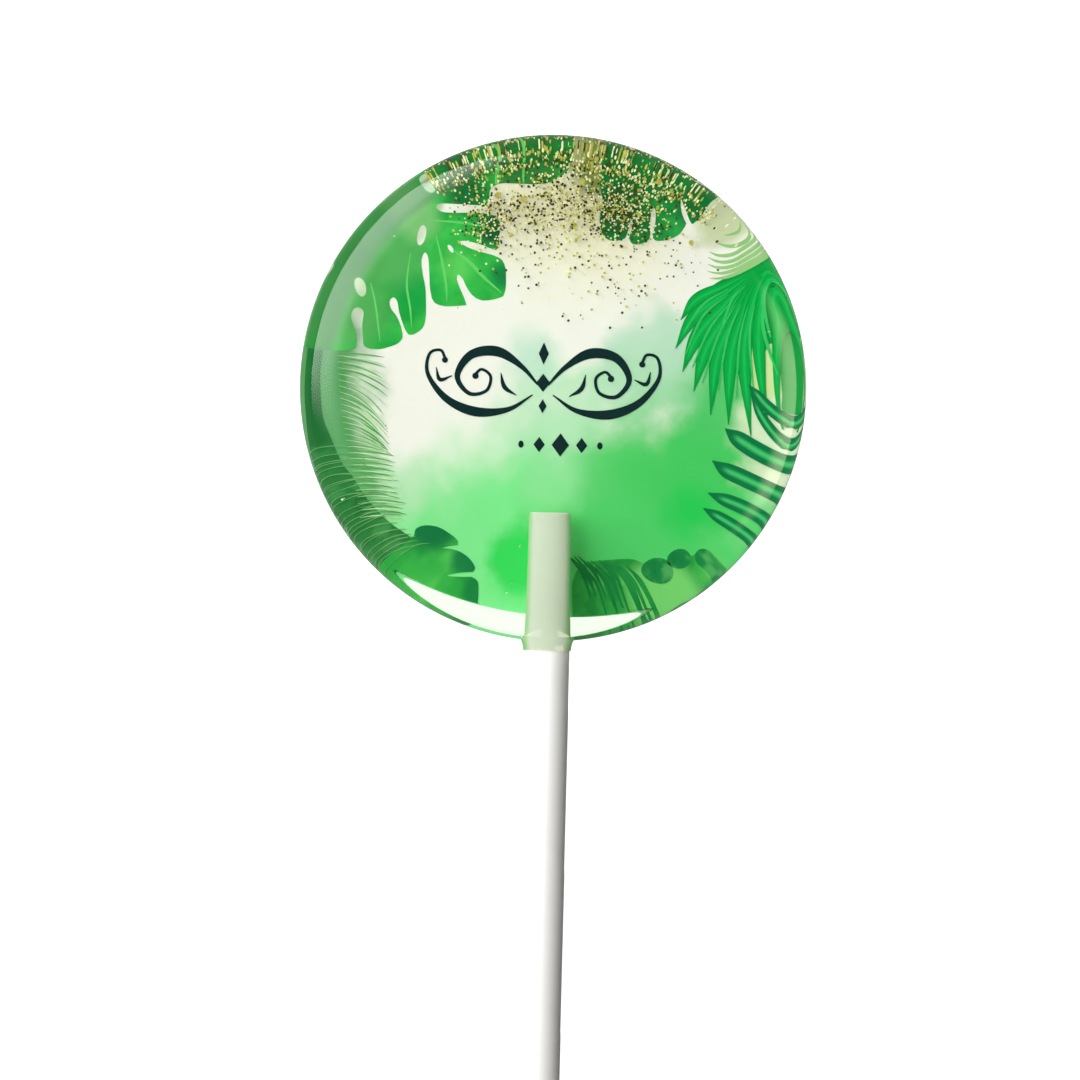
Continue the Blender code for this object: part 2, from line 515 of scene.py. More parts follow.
def print_edge(direction):
    """The sheet's radius in a direction: round, but for the flat trim below."""
    return PRINT_RADIUS - PRINT_TRIM_DEPTH * swell(direction, PRINT_TRIM_DIRECTION, PRINT_TRIM_HALF_WIDTH)


def sheet_shape(margin, bottom, top):
    """A slab of the sheet's outline, undercut and widened by a margin, between two heights."""
    shape = bmesh.new()
    bmesh.ops.create_cone(
        shape, cap_ends=True, segments=DISC_STEPS, radius1=1.0, radius2=1.0, depth=top - bottom
    )
    for corner in shape.verts:
        height = top if corner.co.z > 0 else bottom
        undercut = SHEET_UNDERCUT * (1 - height / PRINT_THICKNESS)
        radius = print_edge(math.atan2(corner.co.y, corner.co.x)) + margin - undercut
        corner.co.x *= radius
        corner.co.y *= radius
        corner.co.z += (top + bottom) / 2
    return shape


# Small air bubbles: place and radius in millimetres.
BUBBLES = (
    (-15.8, 14.4, 0.12), (-20.2, -0.5, 0.14), (-2.9, -15.7, 0.11),
    (-3.6, -19.3, 0.13), (-4.1, -20.2, 0.12), (-19.7, -11.0, 0.12),
    (-16.4, -4.1, 0.08), (9.2, -6.3, 0.07), (-9.6, 7.7, 0.07),
)
BUBBLE_HEIGHTS = (1.6, 4.5)


def bubbles_shape():
    rng = random.Random(7)
    shape = bmesh.new()
    for x, y, radius in BUBBLES:
        spot = Matrix.Translation(Vector((x, y, rng.uniform(*BUBBLE_HEIGHTS))) * MM)
        bmesh.ops.create_icosphere(shape, subdivisions=2, radius=radius * MM, matrix=spot)
    return shape


def make_candy():
    body = tool_object("candy_body", disc_shape())
    recess = sheet_shape(-HOLD, -CUTTER_OVERSHOOT, PRINT_THICKNESS - HOLD)
    mesh = combined(body, [
        (tool_object("collar_body", collar_shape()), "UNION"),
        (tool_object("socket_body", socket_shape()), "DIFFERENCE"),
        (tool_object("recess_body", recess), "DIFFERENCE"),
        (tool_object("bubbles_body", bubbles_shape()), "DIFFERENCE"),
    ])
    placed("clear_candy", mesh, [candy_material()], ["candy_disc"])


def make_print_sheet():
    shape = sheet_shape(0.0, 0.0, PRINT_THICKNESS)
    for face in shape.faces:
        face.material_index = 0 if face.calc_center_median().z > PRINT_THICKNESS * 0.9 else 1
    materials = [wash_material(), sheet_back_material()]
    finished("printed_sheet", shape, materials, ["print_disc"])


# The leaves, the scroll and the glitter. Positions are in millimetres from the disc's centre.


def through(points, steps=6):
    """A smooth open curve through the given points."""
    if len(points) < 3:
        return [Vector(p) for p in points]
    knots = [Vector(p) for p in points]
    knots = [2 * knots[0] - knots[1]] + knots + [2 * knots[-1] - knots[-2]]
    curve = []
    for a, b, c, d in zip(knots, knots[1:], knots[2:], knots[3:]):
        for i in range(steps):
            t = i / steps
            curve.append(0.5 * (
                2 * b + (c - a) * t
                + (2 * a - 5 * b + 4 * c - d) * t ** 2
                + (3 * b - a - 3 * c + d) * t ** 3
            ))
    return curve + [knots[-2]]


def outline(runs):
    """A closed outline of smooth runs that meet in corners; each starts where the last ended.

    The last run ends on the first run's first point, which is kept only once.
    """
    points = []
    for run in runs:
        start = [points[-1]] if points else []
        points = points[:-1] + through(start + [Vector(p) for p in run])
    return points[:-1]


def oval(x, y, half_width, half_height, tilt=0.0, points=20):
    """A closed oval, tilted by so many degrees; four points make it a diamond."""
    lean = Matrix.Rotation(math.radians(tilt), 2)
    ring = []
    for i in range(points):
        a = math.tau * i / points
        ring.append(Vector((x, y)) + lean @ Vector((half_width * math.cos(a), half_height * math.sin(a))))
    return ring


SHEET_EDGE_MARGIN = 0.04 * MM


def on_sheet(point):
    """The point in metres, drawn in to just inside the sheet's edge."""
    place = Vector(point) * MM
    limit = print_edge(math.atan2(place.y, place.x)) - SHEET_EDGE_MARGIN
    return place * min(1.0, limit / max(place.length, 1e-9))


def thicken(shape, level):
    """Give flat faces the thickness of an ink layer; level counts the layers below."""
    top = PRINT_THICKNESS + INK_STEP * (1 + level)
    for corner in shape.verts:
        corner.co.z = INK_BOTTOM
    lifted = bmesh.ops.extrude_face_region(shape, geom=shape.faces)["geom"]
    lifted = [part for part in lifted if isinstance(part, bmesh.types.BMVert)]
    bmesh.ops.translate(shape, vec=(0, 0, top - INK_BOTTOM), verts=lifted)


def join(shape, part):
    """Add a part to a bmesh and free the part."""
    mesh = as_mesh("part", part)
    shape.from_mesh(mesh)
    bpy.data.meshes.remove(mesh)


def patch(shape, level, *loops):
    """Add an ink patch within the first loop; further loops are holes in it."""
    part = bmesh.new()
    for loop in loops:
        corners = [part.verts.new((*on_sheet(point), 0.0)) for point in loop]
        for pair in zip(corners, corners[1:] + corners[:1]):
            part.edges.new(pair)
    bmesh.ops.remove_doubles(part, verts=part.verts, dist=0.01 * MM)
    bmesh.ops.triangle_fill(part, edges=part.edges, use_beauty=True)
    thicken(part, level)
    join(shape, part)


LEAST_BLADE_WIDTH = 0.02


def blade(shape, level, points, widths, steps=5):
    """Add a leaflet along a smooth path, as wide at its knots as widths says.

    What runs past the sheet's edge is cut off there.
    """
    knots = [(*p, w) for p, w in zip(points, widths)]
    path = through(knots, steps)
    inside = [i for i, p in enumerate(path) if p.xy.length * MM < print_edge(math.atan2(p.y, p.x))]
    if len(inside) < 2:
        return
    path = path[max(inside[0] - 1, 0):inside[-1] + 2]
    part = bmesh.new()
    part.loops.layers.uv.new(LEAFLET_UV)
    last = len(path) - 1
    bmesh.ops.create_grid(part, x_segments=last, y_segments=2, size=1.0, calc_uvs=True)
    for corner in part.verts:
        i = round((corner.co.x + 1) / 2 * last)
        ahead = (path[min(i + 1, last)] - path[max(i - 1, 0)]).xy.normalized()
        width = max(path[i].z, LEAST_BLADE_WIDTH)
        spot = path[i].xy + Vector((-ahead.y, ahead.x)) * width * corner.co.y / 2
        corner.co.xy = on_sheet(spot)
    bmesh.ops.remove_doubles(part, verts=part.verts, dist=0.004 * MM)
    thicken(part, level)
    join(shape, part)


def new_shape():
    """An empty bmesh for ink, with the leaflets' UV map ready."""
    shape = bmesh.new()
    shape.loops.layers.uv.new(LEAFLET_UV)
    return shape


def inked(name, shape, material):
    """Finish an ink piece; its layers stay separate closed parts."""
    finished(name, shape, [material], smooth=False, merge=0)


def inked_patch(name, level, loops, material):
    """An ink piece of one patch; loops after the first are holes in it."""
    shape = new_shape()
    patch(shape, level, *loops)
    inked(name, shape, material)


def inked_blades(name, level, leaflets, material, rise=0.1, steps=5):
    """An ink piece of leaflets, given as (path, widths), each a little above the one before."""
    shape = new_shape()
    for k, (path, widths) in enumerate(leaflets):
        blade(shape, level + rise * k, path, widths, steps)
    inked(name, shape, material)


# An outline is a list of smooth runs that meet in corners. Blobs are given as the washes are.
MONSTERA = (
    [(-22.2, 3.1), (-20.6, 3.2), (-19.6, 3.5)],
    [(-19.5, 4.4), (-19.8, 5.6), (-19.95, 6.6), (-19.7, 7.3), (-19.3, 7.5), (-18.9, 7.1), (-19.0, 5.8),
     (-18.9, 4.4)],
    [(-18.8, 3.8), (-18.3, 3.5), (-17.3, 3.45), (-16.3, 3.7), (-15.4, 4.1), (-15.0, 4.7), (-15.15, 5.7)],
    [(-15.6, 6.7), (-16.2, 7.5), (-16.35, 8.2), (-16.0, 8.6), (-15.6, 8.2), (-15.4, 7.2), (-15.0, 6.0),
     (-14.75, 5.4)],
    [(-14.35, 4.95), (-13.7, 5.1), (-13.0, 5.7), (-12.75, 6.7), (-12.75, 8.0)],
    [(-12.85, 9.6), (-13.15, 11.0), (-13.3, 12.3), (-13.0, 13.1), (-12.65, 12.6), (-12.5, 11.0),
     (-12.4, 9.6), (-12.2, 8.6)],
    [(-11.8, 8.1), (-10.9, 7.85), (-9.7, 7.9), (-8.75, 8.0)],
    [(-8.95, 8.6), (-9.4, 9.6), (-9.75, 10.5), (-9.65, 11.0), (-9.2, 10.6), (-8.8, 9.8), (-8.3, 9.1),
     (-7.8, 8.7)],
    [(-7.1, 8.5), (-6.0, 8.65), (-5.15, 8.95)],
    [(-4.95, 9.6), (-4.9, 10.6), (-5.0, 11.8), (-5.4, 12.6), (-6.2, 13.0)],
    [(-7.2, 13.25), (-8.3, 13.55), (-9.1, 13.9), (-9.6, 14.25), (-8.9, 14.35), (-7.6, 14.05),
     (-6.6, 13.7), (-6.0, 13.5)],
    [(-5.65, 13.9), (-5.7, 14.8), (-5.55, 15.7), (-5.75, 16.5), (-6.2, 16.9), (-7.0, 17.1)],
    [(-8.4, 17.15), (-10.2, 17.1), (-11.4, 17.15), (-11.85, 17.45), (-11.4, 17.8), (-9.6, 17.95),
     (-7.8, 17.9), (-7.0, 17.9)],
    [(-6.75, 18.6), (-6.6, 19.5), (-5.6, 20.0), (-4.0, 20.1), (-2.2, 20.1), (-0.8, 20.3), (0.4, 20.9),
     (1.2, 21.6), (1.6, 23.0)],
    [(-4.0, 24.0), (-9.0, 22.5), (-13.5, 19.8), (-17.5, 16.4), (-20.5, 12.5), (-23.0, 8.0),
     (-22.2, 3.1)],
)
# Holes are ovals: centre, half width, half height and tilt in degrees.
MONSTERA_HOLES = (
    (-13.35, 14.8, 0.42, 1.0, -12),
    (-19.0, 9.4, 0.42, 0.85, 0),
    (-10.45, 13.55, 0.2, 0.45, 35),
    (-12.1, 18.6, 0.45, 0.25, 15),
)
MONSTERA_BLOBS = (
    (-13.9, 9.0, 1.0, 3.6, (14, 158, 66), 0.85),
    (-17.0, 4.4, 0.5, 2.6, (24, 172, 66), 0.6),
    (-5.0, 10.9, 0.5, 2.2, (8, 128, 66), 0.9),
    (-6.2, 15.5, 0.8, 2.2, (14, 100, 58), 0.9),
    (-9.0, 19.2, 1.0, 3.2, (12, 108, 56), 0.9),
    (-3.0, 21.5, 2.0, 4.4, (54, 130, 58), 0.9),
    (-20.2, 7.0, 2.2, 5.4, (88, 170, 92), 0.8),
    (-16.6, 13.0, 2.0, 5.0, (90, 172, 96), 0.75),
    (-19.0, 12.4, 0.6, 3.2, (76, 158, 78), 0.8),
    (-13.6, 16.3, 0.9, 3.0, (128, 194, 122), 0.85),
    (-10.0, 11.8, 0.3, 2.4, (110, 222, 104), 0.55),
)
# A leaflet is its path and its widths along it.
MONSTERA_VEINS = (
    ([(-10.2, 13.4), (-8.6, 12.3), (-7.0, 10.7), (-5.3, 9.3)], (0.1, 0.34, 0.3, 0.06)),
    ([(-11.9, 14.8), (-11.2, 12.0), (-10.8, 9.9), (-10.7, 8.3)], (0.1, 0.26, 0.22, 0.05)),
    ([(-14.4, 13.0), (-14.7, 10.0), (-14.3, 7.5), (-14.1, 5.6)], (0.1, 0.22, 0.2, 0.05)),
    ([(-18.2, 9.9), (-17.7, 7.6), (-17.4, 5.6), (-17.2, 4.2)], (0.1, 0.2, 0.18, 0.05)),
    ([(-12.5, 16.3), (-10.2, 16.2), (-8.2, 16.0), (-6.4, 15.6)], (0.1, 0.22, 0.2, 0.05)),
    ([(-6.1, 19.9), (-5.9, 20.8), (-5.4, 21.7), (-5.2, 22.3)], (0.2, 0.34, 0.3, 0.3)),
    ([(-3.4, 20.2), (-3.4, 20.9), (-3.3, 21.6), (-3.2, 22.3)], (0.16, 0.24, 0.24, 0.24)),
)

UPPER_RIGHT_LEAF = (
    [(4.2, 22.2), (4.1, 20.6), (4.4, 18.6), (4.2, 16.8), (4.4, 15.5)],
    [(5.0, 14.85), (5.8, 14.7), (6.7, 14.95), (6.95, 15.4)],
    [(7.15, 16.2), (7.35, 17.1), (7.45, 16.2), (7.15, 15.0)],
    [(7.5, 14.45), (8.3, 14.45), (9.1, 14.9), (9.25, 15.5)],
    [(9.2, 16.6), (9.3, 17.6), (9.6, 18.0), (9.75, 17.3), (9.65, 16.2), (9.5, 15.1)],
    [(9.9, 14.8), (11.0, 14.95), (12.0, 15.4), (12.55, 16.1), (12.7, 16.5)],
    [(12.2, 17.3), (11.8, 18.4), (12.4, 17.6), (12.95, 16.7)],
    [(13.3, 16.4), (13.9, 17.0), (14.1, 17.6), (14.6, 18.6)],
    [(12.0, 20.8), (8.0, 22.8), (4.2, 22.2)],
)
UPPER_RIGHT_BLOBS = (
    (6.0, 17.5, 1.5, 5.0, (22, 112, 52), 0.8),
    (13.2, 17.4, 0.5, 2.4, (14, 118, 66), 0.8),
)

FAN_HEART = (19.6, 11.9)
FAN_BODY = (
    [(21.5, 11.2), (19.6, 12.3), (18.2, 11.8), (16.4, 11.1), (14.9, 10.0), (14.0, 8.9), (14.3, 7.2),
     (15.4, 5.4), (17.2, 4.2), (19.0, 3.6), (19.4, 3.5), (19.7, 5.0), (20.05, 3.5), (20.5, 3.6),
     (20.9, 4.8), (21.2, 4.4), (21.5, 3.6), (21.72, 2.0), (21.88, 0.0), (21.98, -1.8), (23.5, -1.8)],
    [(24.0, 4.0), (23.0, 8.0), (21.5, 11.2)],
)
# Each frond runs on from the fan's heart, through these points, as wide as the last value says.
FAN_FRONDS = (
    ([(14.0, 9.1), (12.45, 7.05)], 1.2),
    ([(13.8, 7.4), (12.0, 4.2)], 1.35),
    ([(14.2, 5.6), (12.75, 1.9)], 1.5),
    ([(15.1, 4.4), (13.9, 0.0)], 1.5),
    ([(16.2, 3.6), (15.6, -2.3)], 1.5),
    ([(17.5, 3.4), (17.4, -3.2)], 1.5),
    ([(18.8, 3.4), (19.65, -4.3)], 1.5),
    ([(20.2, 3.6), (21.0, -2.6)], 1.0),
    ([(21.25, 5.6), (21.8, -3.4)], 0.6),
)
FAN_STREAKS = (
    [(14.6, 8.6), (12.9, 5.9)],
    [(14.6, 7.4), (13.0, 3.6)],
    [(15.3, 6.2), (13.7, 2.4)],
    [(16.2, 5.6), (14.7, 0.8)],
    [(17.1, 5.4), (16.3, 0.2)],
    [(18.3, 5.0), (18.1, -0.6)],
    [(19.3, 5.2), (19.9, -0.6)],
    [(20.3, 6.4), (21.6, 1.8)],
    [(17.4, 9.0), (16.6, 6.6)],
    [(20.0, 8.6), (20.9, 5.4)],
)
PALE_HEART = (19.4, 12.8)
PALE_FRONDS = (
    [(16.0, 15.0), (17.0, 14.75), (17.5, 14.6), (18.0, 14.7)],
    [(15.6, 14.5), (16.6, 14.05), (17.4, 13.95), (18.1, 14.2)],
    [(15.1, 13.8), (16.0, 13.4), (17.1, 13.35), (18.2, 13.8)],
    [(15.0, 13.3), (16.0, 12.85), (17.2, 12.8), (18.5, 13.4)],
    [(15.0, 12.6), (16.0, 12.3), (17.3, 12.35), (18.7, 13.0)],
    [(15.0, 11.9), (16.1, 11.75), (17.4, 11.95), (18.9, 12.6)],
    [(15.2, 11.2), (16.2, 11.25), (17.3, 11.5), (18.6, 12.1)],
)

SLIM_LEAFLETS = (
    ([(19.3, 0.8), (20.1, -0.1), (21.0, -1.3), (22.3, -2.9)], 0.95),
    ([(19.5, 0.3), (20.2, -1.5), (20.9, -3.0), (21.9, -5.0)], 0.8),
    ([(17.1, -3.6), (18.2, -4.45), (19.6, -5.35), (21.2, -6.35), (22.6, -7.1)], 1.75),
    ([(15.9, -6.8), (17.2, -7.65), (18.7, -8.3), (20.2, -8.95), (21.8, -9.6)], 1.65),
    ([(15.55, -10.0), (17.0, -10.55), (18.3, -10.95), (19.3, -11.3), (20.9, -11.9)], 1.35),
    ([(15.1, -11.5), (16.3, -12.15), (17.3, -12.65), (18.2, -13.1), (19.6, -13.8)], 1.2),
)
# A leaflet's width along it, from its tip, as shares of its widest.
LEAFLET_SHAPE = (0.06, 0.85, 1.0, 0.95, 0.85)

LOWER_LEFT_LEAF = (
    [(-15.2, -16.2), (-14.2, -15.6), (-13.4, -14.9)],
    [(-13.2, -14.2), (-12.3, -13.85), (-11.0, -14.0), (-9.9, -14.6), (-9.15, -15.2), (-9.05, -15.7)],
    [(-9.9, -15.85), (-10.6, -16.05)],
    [(-9.5, -16.15), (-8.6, -16.5), (-7.8, -17.1), (-7.3, -17.9), (-7.5, -18.35)],
    [(-8.7, -18.4), (-9.9, -18.55), (-8.7, -18.75), (-7.6, -18.8)],
    [(-7.0, -19.2), (-6.8, -20.1), (-6.7, -21.2)],
    [(-9.0, -22.0), (-12.0, -20.0), (-15.5, -17.5), (-15.2, -16.2)],
)
LOWER_LEFT_BLOBS = (
    (-11.4, -14.0, 1.4, 3.2, (14, 112, 62), 0.95),
    (-8.2, -17.2, 0.9, 2.2, (14, 116, 64), 0.9),
    (-7.0, -19.8, 0.6, 2.0, (16, 118, 60), 0.9),
)

LOWER_RIGHT_LOBES = (
    (10.6, -17.6, 1.5, 1.05, 12),
    (12.7, -16.4, 1.15, 0.75, 28),
    (14.9, -15.95, 0.85, 0.65, 40),
)


def make_leaves():
    light_vein = plain_ink_material("light_vein_ink", (112, 216, 114), (88, 204, 98))
    holes = [oval(*hole) for hole in MONSTERA_HOLES]
    # The monstera darkens towards the rim from 21.3 mm: painted shade.
    inked_patch("monstera_leaf", 1, [outline(MONSTERA), *holes], leaf_material(
        "monstera_ink", (34, 164, 62), (52, 184, 74), (66, 198, 84), MONSTERA_BLOBS, rim=0.65, rim_from=21.3
    ))
    inked_blades("monstera_veins", 2, MONSTERA_VEINS, light_vein, rise=0)
    # This leaf darkens towards the rim from 20.5 mm: painted shade.
    inked_patch("upper_right_leaf", 1, [outline(UPPER_RIGHT_LEAF)], leaf_material(
        "upper_right_ink", (24, 146, 62), (34, 160, 70), (52, 176, 80), UPPER_RIGHT_BLOBS,
        rim=0.5, rim_from=20.5,
    ))
    inked_patch("lower_left_leaf", 2.6, [outline(LOWER_LEFT_LEAF)], leaf_material(
        "lower_left_ink", (44, 162, 66), (56, 174, 72), (78, 190, 82), LOWER_LEFT_BLOBS
    ))
    shape = new_shape()
    for lobe in LOWER_RIGHT_LOBES:
        patch(shape, 2.5, oval(*lobe))
    inked("lower_right_lobes", shape, leaf_material(
        "lower_right_ink", (15, 122, 60), (22, 130, 64), (74, 164, 88), blotch=1.6
    ))


def from_heart(path):
    """A path led in from halfway between the fan's heart and its first point."""
    return [Vector(FAN_HEART).lerp(Vector(path[0]), 0.5), *path]


def make_fan():
    shape = new_shape()
    patch(shape, 1, outline(FAN_BODY))
    for k, (path, width) in enumerate(FAN_FRONDS):
        blade(shape, 2 + 0.1 * k, [FAN_HEART, *from_heart(path)], (0.3, 0.8 * width, width, 0.08), steps=9)
    inked("fan_fronds", shape, blade_material("fan_ink", (0, 152, 62), (0, 170, 70), (26, 188, 88)))
    streaks = [(from_heart(path), (0.05, 0.24, 0.1)) for path in FAN_STREAKS]
    streak_ink = plain_ink_material("fan_streak_ink", (64, 200, 108), (46, 188, 92))
    inked_blades("fan_streaks", 4, streaks, streak_ink)
    pale_fronds = [([*path, PALE_HEART], (0.05, 0.24, 0.34, 0.4, 0.5)) for path in PALE_FRONDS]
    pale_ink = plain_ink_material("pale_frond_ink", (140, 196, 124), (166, 208, 142))
    inked_blades("pale_fronds", 1, pale_fronds, pale_ink)
    slim = [(path, [width * part for part in LEAFLET_SHAPE[:len(path)]]) for path, width in SLIM_LEAFLETS]
    leaflet_ink = blade_material(
        "leaflet_ink", (4, 116, 64), (26, 156, 84), (74, 190, 108), edge_from=0.3, tip=(0.42, 0.18)
    )
    inked_blades("slim_leaflets", 5, slim, leaflet_ink, steps=8)


LEFT_BODY = (
    [(-22.3, 0.5), (-22.0, -1.5), (-21.6, -3.9), (-20.3, -7.4), (-19.3, -9.0), (-17.9, -11.2),
     (-16.0, -13.3), (-14.6, -14.4), (-13.4, -15.2)],
    [(-12.8, -16.4), (-12.9, -18.2)],
    [(-16.0, -17.0), (-19.5, -13.5), (-22.5, -8.0), (-23.5, -4.0), (-22.3, 0.5)],
)
LEFT_BODY_BLOBS = ((-22.0, 0.5, 4.0, 9.0, (26, 104, 48), 1.0),)
# A dark line along the left rim, under the monstera's edge: painted shade, for the dark edge line that the
# candy's rim shows there.
LEFT_RIM_SHADE_LINE = (
    [(-22.3, 4.4), (-21.5, 4.3), (-21.86, 2.9), (-22.04, 0.0), (-21.72, -3.8), (-21.1, -6.4),
     (-20.95, -7.6)],
    [(-21.4, -7.0), (-22.4, -3.0), (-22.3, 4.4)],
)
LOWER_RIGHT_BODY = (
    [(2.4, -22.2), (2.4, -19.0), (3.4, -17.3), (5.4, -16.9), (8.0, -16.7), (9.3, -17.1)],
    [(10.5, -16.5), (11.8, -17.2)],
    [(12.8, -15.8), (13.9, -16.0)],
    [(14.9, -15.3), (15.6, -15.5), (16.8, -16.6)],
    [(13.0, -20.0), (8.0, -23.0), (2.4, -22.2)],
)
LOWER_RIGHT_BLOBS = ((11.0, -20.0, 2.6, 4.4, (116, 206, 108), 0.95),)

# The left rim's fronds: where they start, how far they reach in and how much they droop.
FROND_TOP = (-21.1, 3.0)
FROND_DROP = 15.4
FROND_LEAN = 3.0
FROND_REACH = 4.6
FROND_REACH_LOSS = 0.8
FROND_DROOP = 0.5
FROND_MIDDLE_DROOP = 2.6
FROND_DROOP_FADE = 0.62

# Light lines at the lower left: directions in degrees, then distances from the disc's centre.
LIGHT_LINES = 24
LIGHT_LINES_FROM = 196
LIGHT_LINES_SPAN = 32
LIGHT_LINES_START = 22.3
LIGHT_LINES_END = (19.4, 20.4)

# Dark strokes at the lower right: the first one's start, the step to the next, and their run.
DARK_STROKES = 17
DARK_STROKE_START = (1.6, -16.8)
DARK_STROKE_STEP = (0.42, -0.06)
DARK_STROKE_RUN = (2.6, -3.8)


def drooping_fronds(rng, rows, shift, widths):
    """Fine fronds that start along the left rim, one below the other, and droop inwards."""
    fronds = []
    for k in range(rows):
        t = (k + shift) / (rows - 1)
        start = Vector((FROND_TOP[0] + FROND_LEAN * t ** 2, FROND_TOP[1] - FROND_DROP * t))
        reach = FROND_REACH - FROND_REACH_LOSS * t + rng.uniform(-0.4, 0.4)
        middle = math.sin(math.pi * min(1.0, t / FROND_DROOP_FADE))
        droop = FROND_DROOP + FROND_MIDDLE_DROOP * middle + rng.uniform(-0.2, 0.2)
        bends = ((0.4, 0.22), (0.75, 0.6), (1.0, 1.0))
        path = [start] + [start + Vector((out * reach, -down * droop)) for out, down in bends]
        fronds.append((path, widths))
    return fronds


def light_lines(rng):
    """Thin lines that curl in from the lower left rim."""
    lines = []
    for k in range(LIGHT_LINES):
        turn = LIGHT_LINES_FROM + LIGHT_LINES_SPAN * k / (LIGHT_LINES - 1)
        direction = math.radians(turn + rng.uniform(-0.6, 0.6))
        spoke = Vector((math.cos(direction), math.sin(direction)))
        aside = Vector((-spoke.y, spoke.x))
        inner = rng.uniform(*LIGHT_LINES_END)
        path = [spoke * LIGHT_LINES_START, spoke * (inner + 1.2) + aside * 0.5, spoke * inner + aside * 1.5]
        lines.append((path, (0.05, 0.1, 0.03)))
    return lines


def dark_strokes(rng):
    """Short brush strokes side by side along the lower rim, right of the stick."""
    strokes = []
    for k in range(DARK_STROKES):
        x = DARK_STROKE_START[0] + DARK_STROKE_STEP[0] * k
        y = DARK_STROKE_START[1] + DARK_STROKE_STEP[1] * k + rng.uniform(-0.5, 0.5)
        start = Vector((x, y))
        end = start + Vector((DARK_STROKE_RUN[0] + rng.uniform(-0.5, 0.5), DARK_STROKE_RUN[1]))
        path = [start, start.lerp(end, 0.5) + Vector((0.25, 0.3)), end]
        strokes.append((path, (0.05, 0.34, 0.16)))
    return strokes


def make_feathers():
    """Fine fronds that droop from the left rim, and the strokes along the lower rim."""
    rng = random.Random(4)
    inked_patch("left_body", 1, [outline(LEFT_BODY)], leaf_material(
        "rim_leaf_ink", (34, 112, 52), (44, 124, 60), (64, 144, 76), LEFT_BODY_BLOBS, blotch=1.5
    ))
    # The dark rim line is painted shade.
    rim_shade_line_ink = plain_ink_material("rim_shade_line_ink", (14, 104, 40), (20, 112, 46))
    inked_patch("left_rim_shade_line", 0.5, [outline(LEFT_RIM_SHADE_LINE)], rim_shade_line_ink)
    fronds = drooping_fronds(rng, 30, 0.0, (0.03, 0.15, 0.13, 0.02))
    frond_ink = leaf_material("left_fronds_ink", (84, 154, 88), (98, 168, 98), (120, 186, 112))
    inked_blades("left_fronds", 2, fronds, frond_ink, rise=0.05)
    fronds = drooping_fronds(rng, 27, 0.5, (0.02, 0.12, 0.12, 0.02))
    frond_ink = leaf_material("left_pale_fronds_ink", (168, 216, 154), (186, 226, 170), (204, 236, 188))
    inked_blades("left_pale_fronds", 4, fronds, frond_ink, rise=0.05)
    pale_line_ink = plain_ink_material("pale_line_ink", (122, 180, 116), (88, 156, 90))
    inked_blades("left_light_lines", 6, light_lines(rng), pale_line_ink, rise=0.03)
    inked_patch("lower_right_body", 1, [outline(LOWER_RIGHT_BODY)], leaf_material(
        "lower_right_body_ink", (34, 146, 62), (48, 164, 70), (92, 192, 88), LOWER_RIGHT_BLOBS, blotch=1.8
    ))
    dark_ink = leaf_material("dark_stroke_ink", (14, 120, 54), (22, 132, 60), (34, 146, 66))
    inked_blades("dark_strokes", 3, dark_strokes(rng), dark_ink, rise=0.05)


SCROLL_CENTRE = (-1.0, 0.8)
SCROLL_STROKES = (
    ([(0.5, -0.5), (2.2, 1.3), (4.6, 2.7), (7.2, 2.3), (8.5, 0.2), (7.3, -1.5), (5.6, -1.2), (5.2, 0.2),
      (6.1, 0.9), (6.8, 0.3)],
     (0.2, 0.5, 1.0, 0.85, 0.55, 0.4, 0.32, 0.3, 0.28, 0.3)),
    ([(1.0, -1.5), (3.4, -3.0), (6.6, -3.3), (9.5, -2.1), (11.4, 0.3), (11.3, 2.3), (10.2, 2.7),
      (9.7, 1.8)],
     (0.12, 0.5, 0.95, 0.7, 0.4, 0.3, 0.28, 0.3)),
    ([(2.6, -1.6), (3.8, -0.8), (4.2, 0.6)], (0.08, 0.45, 0.08)),
    ([(9.0, 0.2), (10.2, -0.2), (10.6, 1.0)], (0.08, 0.4, 0.08)),
)
# Round ends of the strokes: place from the scroll's centre, and radius.
SCROLL_ENDS = ((6.7, 0.25, 0.32), (9.75, 1.75, 0.3))
# Diamonds up the middle: height from the centre, half width, half height.
SCROLL_DIAMONDS = ((2.6, 0.5, 1.1), (-0.3, 0.7, 0.9), (-2.6, 0.4, 0.7))
DOT_ROW = (0.85, -5.6)
# The row's marks: place along it and half height. The larger ones are diamonds, the others dots.
DOT_ROW_MARKS = ((-3.9, 0.35), (-2.1, 0.75), (0.0, 1.15), (2.1, 0.75), (3.9, 0.35))
LARGEST_DOT = 0.5


def make_ornament():
    """A plain scroll with a row of dots and diamonds below it."""
    centre_x, centre_y = SCROLL_CENTRE
    shape = new_shape()
    for side in (-1, 1):
        for points, widths in SCROLL_STROKES:
            path = [(centre_x + side * x, centre_y + y) for x, y in points]
            blade(shape, 2 if side < 0 else 2.3, path, widths, steps=8)
        for x, y, radius in SCROLL_ENDS:
            patch(shape, 2.6, oval(centre_x + side * x, centre_y + y, radius, radius))
    for y, half_width, half_height in SCROLL_DIAMONDS:
        patch(shape, 2.6, oval(centre_x, centre_y + y, half_width, half_height, points=4))
    for x, size in DOT_ROW_MARKS:
        points = 4 if size > LARGEST_DOT else 16
        patch(shape, 2, oval(DOT_ROW[0] + x, DOT_ROW[1], size * 0.75, size, points=points))
    inked("dark_scroll", shape, plain_ink_material("dark_green_ink", (8, 38, 40), (14, 46, 46)))


def make_artwork():
    make_leaves()
    make_fan()
    make_feathers()
    make_ornament()


FLAKE_THICKNESS = 0.02 * MM
